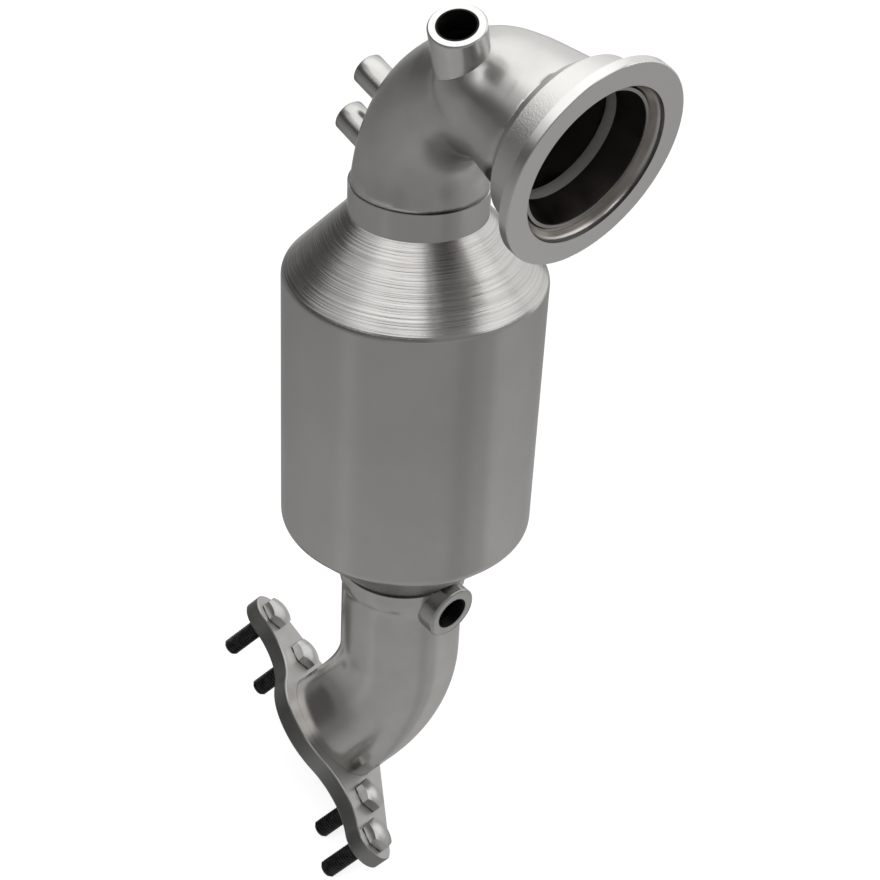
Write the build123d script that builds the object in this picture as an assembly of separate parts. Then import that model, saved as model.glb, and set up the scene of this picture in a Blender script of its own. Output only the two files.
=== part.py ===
from build123d import *
import math
import os

# Exhaust catalytic converter: a spun steel can with a cast inlet elbow above it and a bent outlet
# pipe below. Everything is built about the can's own axis, with the can's upper shoulder at z = 0
# and the inlet opening towards +X, and is then moved so that the centre of the inlet face is the
# origin. Millimetres.

# Can
CAN_RADIUS = 63.5
CAN_LENGTH = 139.0
CAN_WALL = 1.5
CONE_HEIGHT = 33.0
COLLAR_RADIUS = 33.1
COLLAR_LENGTH = 14.0
NECK_LENGTH = 5.5
UPPER_SHOULDER_BLEND = 5.0
LOWER_SHOULDER_BLEND = 5.5

# Catalyst bricks, the mats around them and the seals at the mats' outer ends
BRICK_INSET = 4.0
BRICK_GAP = 11.0
MAT_THICKNESS = 4.0
MAT_SETBACK = 4.0
SEAL_LENGTH = 4.0
CELL_PITCH = 9.5
CELL_WIDTH = 7.9

# Inlet: where its face lies from the can's axis and upper shoulder, and how far its axis droops
INLET_REACH = 106.2
INLET_RISE = 97.3
INLET_DROOP = 12.9

# Inlet flange, measured along its axis back from the face
FLANGE_RADIUS = 49.4
FLANGE_RIM = 4.7
FLANGE_EDGE = 0.6
DRUM_RADIUS = 43.5
DRUM_END_RADIUS = 40.6
DRUM_DEPTH = 25.2
DRUM_BEVEL = 5.2
DRUM_EDGE = 1.0
REGISTER_RADIUS = 38.2
REGISTER_DEPTH = 2.5
COVE_RADIUS = 3.0
THROAT_RADIUS = 34.6
THROAT_START = 6.0
FLANGE_SEAT_DEPTH = 20.0

# Liner sleeve in the flange's throat
LINER_START = 5.2
LINER_WALL = 1.5
LINER_TAPER = 3.2
LINER_CLEARANCE = 0.3

# Cast elbow between the can's collar and the inlet flange; its radius at both ends and midway
ELBOW_BEND = 54.8
ELBOW_COLLAR_RADIUS = 32.2
ELBOW_WAIST_RADIUS = 27.8
ELBOW_MOUTH_RADIUS = 34.6
ELBOW_WALL = 3.0
ELBOW_SECTIONS = 8
ELBOW_RUN_SECTIONS = 3
ELBOW_LEDGE_RADIUS = 29.6
ELBOW_BORE_RADIUS = 28.6
ELBOW_LEDGE_LENGTH = 5.0
SPIGOT_DEPTH = 10.0
SPIGOT_CLEARANCE = 0.1
COLLAR_GAP = 0.5

# Rounded lump on the elbow's side that carries the upper sensor boss: its place round the bend, how
# far its middle lies off the centreline, the way that leans up from the side, and its blend
LUMP_RADIUS = 21.0
LUMP_ANGLE = 84.0
LUMP_OFFSET = 14.0
LUMP_LEAN = 34.0
LUMP_BLEND = 9.0

# Sensor bosses, M18 x 1.5: the bore is the thread's minor diameter. The upper one stands beside
# the elbow's centreline at an angle round its bend, the lower one below the can's lower cone.
SENSOR_BORE_RADIUS = 8.19
SENSOR_EDGE = 0.7
UPPER_BOSS_RADIUS = 12.6
UPPER_BOSS_ANGLE = 73.5
UPPER_BOSS_SIDE = -11.3
UPPER_BOSS_DISTANCE = 44.3
UPPER_BOSS_AXIS = (0.195, -0.367, 0.909)
LOWER_BOSS_RADIUS = 14.5
LOWER_BOSS_DISTANCE = 38.9
LOWER_BOSS_DROP = 7.5
LOWER_BOSS_DROOP = 7.0
LOWER_BOSS_LENGTH = 11.0
LOWER_BORE_EDGE = 0.8
LOWER_PORT_CLEARANCE = 1.8

# Heat-shield bosses on the back of the elbow, M8: the bore is the thread's minor diameter. Each
# has the height above the collar where its axis meets the can's, a shift sideways, and its reach.
SHIELD_BOSS_RADIUS = 8.1
SHIELD_BOSS_EDGE = 0.7
SHIELD_BORE_RADIUS = 3.32
SHIELD_BORE_DEPTH = 11.0
SHIELD_BOSS_RISE = 20.0
SHIELD_BOSSES = {"shield_boss_upper": (24.7, 3.0, 44.7), "shield_boss_lower": (-0.8, -3.0, 50.5)}

# Outlet pipe: a belled end over the can's neck, one bend, and a straight end in the flange
PIPE_RADIUS = 31.75
PIPE_WALL = 1.5
BELL_RADIUS = 33.2
BELL_LENGTH = 8.0
BELL_BLEND = 5.0
BELL_SWEEP = 16.0
PIPE_DROP = 56.5
PIPE_BEND = 64.6
PIPE_TURN = 47.9
PIPE_STRAIGHT = 16.9
PIPE_AZIMUTH = 235.1

# Outlet flange: a ring with an ear on each side, ears along its first axis, and the pipe's bore
# a little below the middle of the ring. Bolt places are measured from the middle of the ring.
PLATE_THICKNESS = 9.0
PLATE_RING_RADIUS = 39.5
PLATE_ROLL = 28.3
PLATE_RISE = 1.6
PLATE_EDGE = 0.6
EAR_RADIUS = 13.5
VALLEY_RADIUS = 35.0
INNER_BOLT = (46.0, 0.0)
OUTER_BOLT = (71.5, 11.6)
PIPE_SETBACK = 2.0

# M10 flange bolts with domed hexagon heads. The plain shank is at the thread's pitch diameter, as
# on a rolled bolt. It ends a little below the plate, and the thread runs from there to the tip.
BOLT_SHANK_RADIUS = 4.5
BOLT_SHANK_PROUD = 1.0
BOLT_THREAD_RADIUS = 4.93
BOLT_LENGTH = 34.0
BOLT_HOLE_RADIUS = 5.25
BOLT_HEX = 16.0
BOLT_HEAD_HEIGHT = 7.0
BOLT_CROWN_RADIUS = 16.0
BOLT_FACE_RADIUS = 7.3
BOLT_FACE_HEIGHT = 0.5
BOLT_TIP = 1.2

COLLAR_TOP = CONE_HEIGHT + COLLAR_LENGTH
NECK_TOP = -CAN_LENGTH - CONE_HEIGHT
CAN_BORE = CAN_RADIUS - CAN_WALL
COLLAR_BORE = COLLAR_RADIUS - CAN_WALL
NECK_RADIUS = BELL_RADIUS - PIPE_WALL - SPIGOT_CLEARANCE
THROAT_TOP = NECK_TOP - BELL_LENGTH - BELL_BLEND
BRICK_RADIUS = CAN_BORE - MAT_THICKNESS
BRICK_LENGTH = (CAN_LENGTH - BRICK_GAP) / 2 - BRICK_INSET

INLET_ANGLE = math.radians(INLET_DROOP)
INLET_AXIS = Vector(math.cos(INLET_ANGLE), 0, -math.sin(INLET_ANGLE))
INLET_CENTRE = Vector(INLET_REACH, 0, INLET_RISE)
INLET_PLANE = Plane(origin=INLET_CENTRE, x_dir=(0, 1, 0), z_dir=INLET_AXIS)
TO_ORIGIN = Location((-INLET_REACH, 0, -INLET_RISE))

# The elbow's centreline: a short rise out of the collar, the bend, and a run to the flange
ELBOW_TURN = math.radians(90) + INLET_ANGLE
ELBOW_FOOT = COLLAR_TOP + COLLAR_GAP
ELBOW_TANGENT = ELBOW_BEND * math.tan(ELBOW_TURN / 2)
ELBOW_RISE = INLET_RISE + INLET_REACH * math.tan(INLET_ANGLE) - ELBOW_TANGENT - ELBOW_FOOT
ELBOW_RUN = INLET_REACH / math.cos(INLET_ANGLE) - ELBOW_TANGENT - DRUM_DEPTH
ELBOW_LENGTH = ELBOW_RISE + ELBOW_BEND * ELBOW_TURN + ELBOW_RUN


def turned(points):
    """Solid of revolution about Z through (radius, height) points, closed back to the first."""
    outline = Polyline(*[(radius, 0, height) for radius, height in points], close=True)
    return revolve(make_face(outline), Axis.Z)


def circles_at(solid, height, radius):
    """Circular edges of a turned solid at one height and radius."""
    def matches(edge):
        return (
            edge.geom_type == GeomType.CIRCLE
            and abs(edge.center().Z - height) < 0.01
            and abs(edge.radius - radius) < 0.01
        )
    return solid.edges().filter_by(matches)


def drilled(start, direction, radius, length):
    """Cylinder of the given radius and length, from a point along a direction."""
    base = Plane(origin=start, z_dir=direction)
    return extrude(base * Circle(radius), length)


def can_form():
    """Outer form of the can, both cones, the upper collar and the lower neck."""
    form = turned([
        (0, COLLAR_TOP), (COLLAR_RADIUS, COLLAR_TOP), (COLLAR_RADIUS, CONE_HEIGHT), (CAN_RADIUS, 0),
        (CAN_RADIUS, -CAN_LENGTH), (NECK_RADIUS, NECK_TOP), (NECK_RADIUS, NECK_TOP - NECK_LENGTH),
        (0, NECK_TOP - NECK_LENGTH),
    ])
    form = fillet(circles_at(form, 0, CAN_RADIUS), UPPER_SHOULDER_BLEND)
    return fillet(circles_at(form, -CAN_LENGTH, CAN_RADIUS), LOWER_SHOULDER_BLEND)


def can_shell():
    """The can spun from one tube, open at both ends, with the lower sensor's port in its neck."""
    neck_bore = NECK_RADIUS - CAN_WALL
    hollow = turned([
        (0, COLLAR_TOP), (COLLAR_BORE, COLLAR_TOP), (COLLAR_BORE, CONE_HEIGHT), (CAN_BORE, -CAN_WALL),
        (CAN_BORE, CAN_WALL - CAN_LENGTH), (neck_bore, NECK_TOP), (neck_bore, NECK_TOP - NECK_LENGTH),
        (0, NECK_TOP - NECK_LENGTH),
    ])
    return can_form() - hollow - lower_port()


def brick(top):
    """Ceramic catalyst brick, with its through cells drawn at a coarse pitch."""
    reach = int(BRICK_RADIUS // CELL_PITCH)
    rim = BRICK_RADIUS - CELL_WIDTH * math.sqrt(0.5) - (CELL_PITCH - CELL_WIDTH)
    centres = [
        (column * CELL_PITCH, row * CELL_PITCH)
        for column in range(-reach, reach + 1)
        for row in range(-reach, reach + 1)
        if math.hypot(column * CELL_PITCH, row * CELL_PITCH) < rim
    ]
    section = Circle(BRICK_RADIUS) - Locations(*centres) * Rectangle(CELL_WIDTH, CELL_WIDTH)
    return extrude(Location((0, 0, top)) * section, -BRICK_LENGTH)


def ring(top, length, inner_radius, outer_radius):
    """Plain ring about the can's axis."""
    return extrude(Location((0, 0, top)) * (Circle(outer_radius) - Circle(inner_radius)), -length)


def elbow_plane(angle, beyond=0):
    """Plane square to the elbow's centreline, at an angle round its bend or beyond either end."""
    heading = Vector(math.sin(angle), 0, math.cos(angle))
    across = ELBOW_BEND * (1 - math.cos(angle))
    centre = Vector(across, 0, ELBOW_FOOT + ELBOW_RISE + ELBOW_BEND * math.sin(angle))
    return Plane(origin=centre + heading * beyond, x_dir=(0, 1, 0), z_dir=heading)


def elbow_radius(share):
    """The elbow's outer radius at a share of its length: one parabola through its three radii."""
    return (
        ELBOW_COLLAR_RADIUS * (1 - share) * (1 - 2 * share)
        + 4 * ELBOW_WAIST_RADIUS * share * (1 - share)
        + ELBOW_MOUTH_RADIUS * share * (2 * share - 1)
    )


def elbow_body(inset):
    """The elbow's outer form, or its bore when inset by the wall: sections lofted round the bend."""
    places = [(0, -ELBOW_RISE)]
    places += [(ELBOW_TURN * step / ELBOW_SECTIONS, 0) for step in range(ELBOW_SECTIONS + 1)]
    places += [
        (ELBOW_TURN, ELBOW_RUN * step / ELBOW_RUN_SECTIONS) for step in range(1, ELBOW_RUN_SECTIONS + 1)
    ]
    sections = []
    for angle, beyond in places:
        share = (ELBOW_RISE + ELBOW_BEND * angle + beyond) / ELBOW_LENGTH
        sections.append(elbow_plane(angle, beyond) * Circle(elbow_radius(share) - inset))
    return loft(sections)


def inlet_elbow():
    """Cast elbow with a spigot at each end, a lump under the upper sensor boss and that boss's port."""
    foot = Location((0, 0, COLLAR_TOP - SPIGOT_DEPTH))
    lower_spigot = extrude(foot * Circle(COLLAR_BORE - SPIGOT_CLEARANCE), SPIGOT_DEPTH + COLLAR_GAP)
    lower_bore = extrude(foot * Circle(ELBOW_COLLAR_RADIUS - ELBOW_WALL), SPIGOT_DEPTH + COLLAR_GAP)
    seat = INLET_PLANE.offset(-FLANGE_SEAT_DEPTH)
    ledge_end = seat.offset(-ELBOW_LEDGE_LENGTH)
    spigot_length = DRUM_DEPTH - FLANGE_SEAT_DEPTH
    upper_spigot = extrude(seat * Circle(THROAT_RADIUS - SPIGOT_CLEARANCE), -spigot_length)
    ledge = loft([ledge_end * Circle(ELBOW_BORE_RADIUS), seat * Circle(ELBOW_LEDGE_RADIUS)])
    mouth_bore = extrude(ledge_end * Circle(ELBOW_BORE_RADIUS), -2 * ELBOW_WALL)
    body = elbow_form() + lower_spigot + upper_spigot
    return body - elbow_body(ELBOW_WALL) - lower_bore - ledge - mouth_bore - sensor_port()


def upper_boss_axis():
    """Direction that the upper sensor boss faces, and the middle of its face."""
    axis = Vector(*UPPER_BOSS_AXIS).normalized()
    beside = elbow_plane(math.radians(UPPER_BOSS_ANGLE)).origin + Vector(0, UPPER_BOSS_SIDE, 0)
    return axis, beside + axis * UPPER_BOSS_DISTANCE


def boss_lump():
    """Rounded lump on the elbow's side that carries the upper sensor boss."""
    lean = math.radians(LUMP_LEAN)
    aside, up = -LUMP_OFFSET * math.cos(lean), LUMP_OFFSET * math.sin(lean)
    middle = elbow_plane(math.radians(LUMP_ANGLE)).from_local_coords((aside, up, 0))
    return Location(middle) * Sphere(LUMP_RADIUS)


def elbow_form():
    """The elbow's outer form with its lump, blended where they meet."""
    form = elbow_body(0) + boss_lump()
    foot = form.faces().filter_by(GeomType.SPHERE)[0].outer_wire().edges()
    return fillet(foot, LUMP_BLEND)


def sensor_port():
    """Port through the elbow's wall under the upper sensor boss."""
    axis, face = upper_boss_axis()
    return drilled(face, axis * -1, SENSOR_BORE_RADIUS, UPPER_BOSS_DISTANCE - ELBOW_WALL)


def bush(face, axis, radius, bore_radius, length):
    """Round boss from its face back along its axis, with a bore and a broken edge."""
    body = drilled(face, axis * -1, radius, length)
    body = chamfer(body.edges().filter_by(GeomType.CIRCLE).sort_by_distance(face)[0], SENSOR_EDGE)
    return body - drilled(face, axis * -1, bore_radius, length)


def upstream_sensor_boss():
    """Threaded boss on top of the elbow, cut to the surface of the lump that carries it."""
    axis, face = upper_boss_axis()
    body = bush(face, axis, UPPER_BOSS_RADIUS, SENSOR_BORE_RADIUS, UPPER_BOSS_DISTANCE)
    return largest(body - elbow_form())


def shield_boss(height, side, reach):
    """Blind threaded boss on the back of the elbow, cut to the elbow's surface."""
    rise = math.radians(SHIELD_BOSS_RISE)
    axis = Vector(-math.cos(rise), 0, math.sin(rise))
    face = Vector(0, side, COLLAR_TOP + height) + axis * reach
    body = drilled(face, axis * -1, SHIELD_BOSS_RADIUS, reach)
    body = chamfer(body.edges().filter_by(GeomType.CIRCLE).sort_by_distance(face)[0], SHIELD_BOSS_EDGE)
    body -= drilled(face, axis * -1, SHIELD_BORE_RADIUS, SHIELD_BORE_DEPTH)
    return largest(body - elbow_body(0))


def largest(shape):
    """The biggest solid of a cut that leaves loose scraps."""
    return shape.solids().sort_by(SortBy.VOLUME)[-1]


def inlet_flange():
    """V-band flange: rim, drum, register recess, cove and throat, turned about the inlet axis."""
    outline = [
        (REGISTER_RADIUS, 0), (FLANGE_RADIUS, 0), (FLANGE_RADIUS, -FLANGE_RIM), (DRUM_RADIUS, -FLANGE_RIM),
        (DRUM_END_RADIUS, DRUM_BEVEL - DRUM_DEPTH), (DRUM_END_RADIUS - DRUM_BEVEL, -DRUM_DEPTH),
        (THROAT_RADIUS, -DRUM_DEPTH), (THROAT_RADIUS, -THROAT_START), (REGISTER_RADIUS, -REGISTER_DEPTH),
    ]
    body = turned(outline)
    body = fillet(circles_at(body, DRUM_BEVEL - DRUM_DEPTH, DRUM_END_RADIUS), DRUM_EDGE)
    body = fillet(circles_at(body, 0, FLANGE_RADIUS), FLANGE_EDGE)
    body = fillet(circles_at(body, -REGISTER_DEPTH, REGISTER_RADIUS), COVE_RADIUS)
    return INLET_PLANE.location * body


def inlet_liner():
    """Thin tapered sleeve in the flange's throat, ending on the elbow's ledge."""
    outer = THROAT_RADIUS - LINER_CLEARANCE
    tail = outer - LINER_TAPER
    body = turned([
        (outer - LINER_WALL, -LINER_START), (outer, -LINER_START), (tail, -FLANGE_SEAT_DEPTH),
        (tail - LINER_WALL, -FLANGE_SEAT_DEPTH),
    ])
    return INLET_PLANE.location * body


def pipe_bend(angle):
    """Point on the outlet pipe's bend, and the pipe's heading there, at an angle into the bend."""
    azimuth = math.radians(PIPE_AZIMUTH)
    outward = Vector(math.cos(azimuth), math.sin(azimuth), 0)
    down = Vector(0, 0, -1)
    start = down * (PIPE_DROP - NECK_TOP)
    point = start + outward * PIPE_BEND * (1 - math.cos(angle)) + down * PIPE_BEND * math.sin(angle)
    return point, outward * math.sin(angle) + down * math.cos(angle)


def outlet_plane():
    """Plane on the outlet flange's pipe side, about the pipe: ears along x, facing up the pipe."""
    bend_end, heading = pipe_bend(math.radians(PIPE_TURN))
    across = heading.cross(Vector(0, 0, 1)).normalized()
    upward = across.cross(heading)
    roll = math.radians(PLATE_ROLL)
    along = across * math.cos(roll) + upward * math.sin(roll)
    return Plane(origin=bend_end + heading * PIPE_STRAIGHT, x_dir=along, z_dir=heading * -1)


def straight_top(inset):
    """The pipe's straight top with its bell, or the bore of it when inset by the wall."""
    bell, pipe, foot = BELL_RADIUS - inset, PIPE_RADIUS - inset, NECK_TOP - PIPE_DROP
    form = turned([
        (0, NECK_TOP), (bell, NECK_TOP), (bell, THROAT_TOP + BELL_BLEND), (pipe, THROAT_TOP), (pipe, foot),
        (0, foot),
    ])
    form = fillet(circles_at(form, THROAT_TOP + BELL_BLEND, bell), BELL_SWEEP)
    return fillet(circles_at(form, THROAT_TOP, pipe), BELL_SWEEP)


def outlet_pipe():
    """Bent outlet pipe with its belled end, and the port under the lower sensor boss."""
    turn = math.radians(PIPE_TURN)
    bend_start, bend_middle, bend_end = (pipe_bend(angle)[0] for angle in (0, turn / 2, turn))
    tail = outlet_plane().offset(PIPE_SETBACK - PLATE_THICKNESS).origin
    path = ThreePointArc(bend_start, bend_middle, bend_end) + Line(bend_end, tail)

    def tube(inset):
        start = Location(bend_start) * Circle(PIPE_RADIUS - inset)
        return sweep(start, path=path) + straight_top(inset)

    return tube(0) - tube(PIPE_WALL) - lower_port()


def lower_boss_axis():
    """Direction that the lower sensor boss faces, and the middle of its face."""
    droop = math.radians(LOWER_BOSS_DROOP)
    axis = Vector(math.cos(droop), 0, -math.sin(droop))
    return axis, Vector(0, 0, NECK_TOP - LOWER_BOSS_DROP) + axis * LOWER_BOSS_DISTANCE


def lower_port():
    """Cutter for the lower sensor's port in the pipe and the neck, wider than the boss's bore."""
    axis, face = lower_boss_axis()
    radius = SENSOR_BORE_RADIUS + LOWER_PORT_CLEARANCE
    return drilled(face, axis * -1, radius, LOWER_BOSS_DISTANCE - PIPE_RADIUS / 2)


def downstream_sensor_boss():
    """Threaded boss on the outlet pipe's bell, cut to the pipe's surface and the can's cone."""
    axis, face = lower_boss_axis()
    body = bush(face, axis, LOWER_BOSS_RADIUS, SENSOR_BORE_RADIUS, LOWER_BOSS_LENGTH)
    bore_edges = body.edges().filter_by(GeomType.CIRCLE).group_by(lambda edge: round(edge.radius, 3))[0]
    body = chamfer(bore_edges.sort_by_distance(face)[0], LOWER_BORE_EDGE)
    return largest(body - straight_top(0) - can_form())


def half_plate_outline():
    """Right half of the flange's outline: ring, valley and ear as tangent arcs, then the lower web."""
    ring, ear, valley = PLATE_RING_RADIUS, EAR_RADIUS, VALLEY_RADIUS
    distance = math.hypot(*OUTER_BOLT)
    bearing = math.degrees(math.atan2(OUTER_BOLT[1], OUTER_BOLT[0]))
    reach = ring + valley
    foot = (reach ** 2 - (ear + valley) ** 2 + distance ** 2) / (2 * distance)
    to_valley = bearing + math.degrees(math.acos(foot / reach))
    valley_centre = Vector(reach, 0).rotate(Axis.Z, to_valley)
    ear_centre = Vector(*OUTER_BOLT)
    back = valley_centre - ear_centre
    ear_to_valley = math.degrees(math.atan2(back.Y, back.X))
    touch = bearing - math.degrees(math.acos((ring - ear) / distance))
    web = Line(ear_centre + Vector(ear, 0).rotate(Axis.Z, touch), Vector(ring, 0).rotate(Axis.Z, touch))
    return Curve() + [
        CenterArc((0, 0), ring, 90, to_valley - 90),
        CenterArc(valley_centre, valley, to_valley + 180, ear_to_valley - to_valley),
        CenterArc(ear_centre, ear, ear_to_valley, touch - ear_to_valley),
        web,
        CenterArc((0, 0), ring, touch, -90 - touch),
    ]


def bolt_places():
    """Bolt centres in the flange's plane, by node name."""
    return {
        "flange_bolt_upper_outer": OUTER_BOLT,
        "flange_bolt_upper_inner": INNER_BOLT,
        "flange_bolt_lower_inner": (-INNER_BOLT[0], INNER_BOLT[1]),
        "flange_bolt_lower_outer": (-OUTER_BOLT[0], OUTER_BOLT[1]),
    }


def outlet_flange():
    """Thick outlet flange plate with the pipe's bore and four bolt holes."""
    outline = half_plate_outline() + mirror(half_plate_outline(), about=Plane.YZ)
    plate = extrude(make_face(outline), -PLATE_THICKNESS)
    levels = plate.edges().group_by(Axis.Z)
    plate = chamfer(levels[-1] + levels[0], PLATE_EDGE)
    plate -= extrude(Pos(0, -PLATE_RISE) * Circle(PIPE_RADIUS + SPIGOT_CLEARANCE), -PLATE_THICKNESS)
    for place in bolt_places().values():
        plate -= extrude(Pos(*place) * Circle(BOLT_HOLE_RADIUS), -PLATE_THICKNESS)
    return outlet_plane().location * (Pos(0, PLATE_RISE) * plate)


def flange_bolt(place):
    """Bolt with a domed hexagon head on the pipe side and its thread through the plate."""
    hexagon = RegularPolygon(BOLT_HEX / 2, 6, major_radius=False)
    prism = extrude(Pos(0, 0, BOLT_FACE_HEIGHT) * hexagon, BOLT_HEAD_HEIGHT)
    crown = Pos(0, 0, BOLT_FACE_HEIGHT + BOLT_HEAD_HEIGHT - BOLT_CROWN_RADIUS) * Sphere(BOLT_CROWN_RADIUS)
    washer_face = extrude(Circle(BOLT_FACE_RADIUS), BOLT_FACE_HEIGHT)
    shank_length = PLATE_THICKNESS + BOLT_SHANK_PROUD
    shank = extrude(Circle(BOLT_SHANK_RADIUS), -shank_length)
    thread = extrude(Pos(0, 0, -shank_length) * Circle(BOLT_THREAD_RADIUS), shank_length - BOLT_LENGTH)
    thread = chamfer(thread.edges().group_by(Axis.Z)[0], BOLT_TIP)
    bolt = (prism & crown) + washer_face + shank + thread
    return outlet_plane().location * (Pos(place[0], place[1] + PLATE_RISE) * bolt)


def model():
    """Every piece by node name, about the can's axis."""
    rear_brick_top = BRICK_INSET + BRICK_LENGTH - CAN_LENGTH
    mat_length = BRICK_LENGTH - SEAL_LENGTH - MAT_SETBACK
    pieces = {
        "can_shell": can_shell(),
        "front_brick": brick(-BRICK_INSET),
        "rear_brick": brick(rear_brick_top),
        "front_mat": ring(-BRICK_INSET - SEAL_LENGTH, mat_length, BRICK_RADIUS, CAN_BORE),
        "rear_mat": ring(rear_brick_top - MAT_SETBACK, mat_length, BRICK_RADIUS, CAN_BORE),
        "front_mat_seal": ring(-BRICK_INSET, SEAL_LENGTH, BRICK_RADIUS, CAN_BORE),
        "rear_mat_seal": ring(
            BRICK_INSET + SEAL_LENGTH - CAN_LENGTH, SEAL_LENGTH, BRICK_RADIUS, CAN_BORE
        ),
        "inlet_elbow": inlet_elbow(),
        "inlet_flange": inlet_flange(),
        "inlet_liner": inlet_liner(),
        "upstream_sensor_boss": upstream_sensor_boss(),
        "downstream_sensor_boss": downstream_sensor_boss(),
        "outlet_pipe": outlet_pipe(),
        "outlet_flange": outlet_flange(),
    }
    for name, place in SHIELD_BOSSES.items():
        pieces[name] = shield_boss(*place)
    for name, place in bolt_places().items():
        pieces[name] = flange_bolt(place)
    return pieces


os.makedirs("parts", exist_ok=True)
for name, piece in model().items():
    export_step(TO_ORIGIN * piece, "parts/" + name + ".step")
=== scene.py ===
import math

import bmesh
import bpy
from mathutils import Matrix, Vector


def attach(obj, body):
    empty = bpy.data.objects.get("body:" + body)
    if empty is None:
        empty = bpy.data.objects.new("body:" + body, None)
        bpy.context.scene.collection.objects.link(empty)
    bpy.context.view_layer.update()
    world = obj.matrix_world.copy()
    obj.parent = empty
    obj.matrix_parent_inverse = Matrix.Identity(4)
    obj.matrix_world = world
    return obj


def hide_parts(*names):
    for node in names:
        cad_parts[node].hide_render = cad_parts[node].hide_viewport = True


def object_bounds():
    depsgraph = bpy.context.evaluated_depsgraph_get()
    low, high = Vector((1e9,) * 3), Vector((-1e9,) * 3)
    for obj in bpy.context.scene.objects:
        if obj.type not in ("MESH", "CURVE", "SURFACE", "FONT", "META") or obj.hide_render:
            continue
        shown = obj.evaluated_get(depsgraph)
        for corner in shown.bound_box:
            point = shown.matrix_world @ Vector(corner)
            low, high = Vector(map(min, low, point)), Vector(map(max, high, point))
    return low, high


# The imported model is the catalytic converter's solids, in metres, with the centre of the inlet
# face as the origin and the can's axis upright.
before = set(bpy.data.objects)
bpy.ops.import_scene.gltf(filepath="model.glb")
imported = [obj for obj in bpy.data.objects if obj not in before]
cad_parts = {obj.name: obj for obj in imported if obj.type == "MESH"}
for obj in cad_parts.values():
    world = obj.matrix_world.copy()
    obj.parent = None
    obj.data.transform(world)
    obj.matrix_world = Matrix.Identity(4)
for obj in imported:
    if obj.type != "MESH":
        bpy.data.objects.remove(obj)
cad_low, cad_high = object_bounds()


# Can
# The casing: a steel tube spun down to a cone and a collar above, and to a cone and a neck below.
# Stainless sheet. The cones keep the fine lines of the spinning roller; the tube is satin.
CAN_STEEL = (0.553, 0.545, 0.529)
CAN_STAIN = (0.513, 0.502, 0.483)
CAN_SCORE = (0.419, 0.41, 0.397)
EDGE_TINT = (0.75, 0.75, 0.75, 1)
CAN_AXIS = (-0.1062, 0, 0)
CAN_MIDDLE = -0.1668
CAN_HALF_LENGTH = 0.0685
SHOULDER_LENGTH = 0.003
CONE_TOP_SPAN = 0.1022
CAN_LINE_ROWS = 4200.0
CAN_LINE_DEPTH = 0.00006
TUBE_LINE_SHARE = 0.06


def put(tree, kind, inputs=None, **settings):
    """Adds a node, with its settings, and fills its inputs with values or with other sockets."""
    made = tree.nodes.new("ShaderNode" + kind)
    for name, value in settings.items():
        setattr(made, name, value)
    for name, value in (inputs or {}).items():
        if isinstance(value, bpy.types.NodeSocket):
            tree.links.new(value, made.inputs[name])
        else:
            made.inputs[name].default_value = value
    return made


def number(tree, operation, *terms):
    """A number worked out from others."""
    return put(tree, "Math", dict(enumerate(terms)), operation=operation).outputs[0]


def vector(tree, operation, *terms):
    """A vector worked out from others."""
    return put(tree, "VectorMath", dict(enumerate(terms)), operation=operation).outputs[0]


def length(tree, operation, *terms):
    """A vector's length, or the distance between two points."""
    return put(tree, "VectorMath", dict(enumerate(terms)), operation=operation).outputs["Value"]


def height_of(tree, place):
    """How high a point lies along the z axis."""
    return put(tree, "SeparateXYZ", {0: place}).outputs["Z"]


def ramp(tree, value, start, end):
    """A share from 0 to 1 that follows a value from a start to an end, and stops there."""
    return put(tree, "MapRange", {"Value": value, "From Min": start, "From Max": end}).outputs["Result"]


def tone(tree, share, low, high):
    """A value between two ends, by a share from 0 to 1."""
    return put(tree, "MapRange", {"Value": share, "To Min": low, "To Max": high}).outputs["Result"]


def blend(tree, share, first, second):
    """A colour between two others, by a share from 0 to 1. Each may be a colour or a socket."""
    mix = put(tree, "Mix", {"Factor": share}, data_type="RGBA")
    for socket, colour in ((mix.inputs[6], first), (mix.inputs[7], second)):
        if isinstance(colour, bpy.types.NodeSocket):
            tree.links.new(colour, socket)
        else:
            socket.default_value = (*colour, 1)
    return mix.outputs[2]


def relief(tree, height, strength, depth):
    """A normal from a height that runs from 0 to 1, with its depth in metres."""
    return put(tree, "Bump", {"Height": height, "Strength": strength, "Distance": depth}).outputs[0]


def effect(name, inputs, output):
    """Starts a group of nodes that several materials share, with one value coming out of it."""
    made = bpy.data.node_groups.new(name, "ShaderNodeTree")
    for title, kind in inputs.items():
        made.interface.new_socket(title, in_out="INPUT", socket_type="NodeSocket" + kind)
    made.interface.new_socket(output, in_out="OUTPUT", socket_type="NodeSocketFloat")
    return made, made.nodes.new("NodeGroupInput").outputs, made.nodes.new("NodeGroupOutput").inputs


def shared(tree, group, place, **values):
    """Puts a shared group of nodes in a material, and returns what comes out of it."""
    return put(tree, "Group", {"Vector": place, **values}, node_tree=group).outputs[0]


def steel(name, colour, roughness):
    """A bare metal material with its shader's plain values set, and the piece's own coordinates."""
    made = bpy.data.materials.new(name)
    made.use_nodes = True
    tree = made.node_tree
    shader = tree.nodes["Principled BSDF"]
    shader.inputs["Base Color"].default_value = (*colour, 1)
    shader.inputs["Metallic"].default_value = 1
    shader.inputs["Roughness"].default_value = roughness
    shader.inputs["Specular Tint"].default_value = EDGE_TINT
    return made, tree, shader, put(tree, "TexCoord").outputs["Object"]


def fill(tree, shader, **sockets):
    """Links worked-out values to the shader's sockets."""
    for name, socket in sockets.items():
        tree.links.new(socket, shader.inputs[name.replace("_", " ")])


def dress(node, material):
    """Gives a solid of the frame its material."""
    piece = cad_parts[node]
    piece.data.materials.clear()
    piece.data.materials.append(material)


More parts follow.
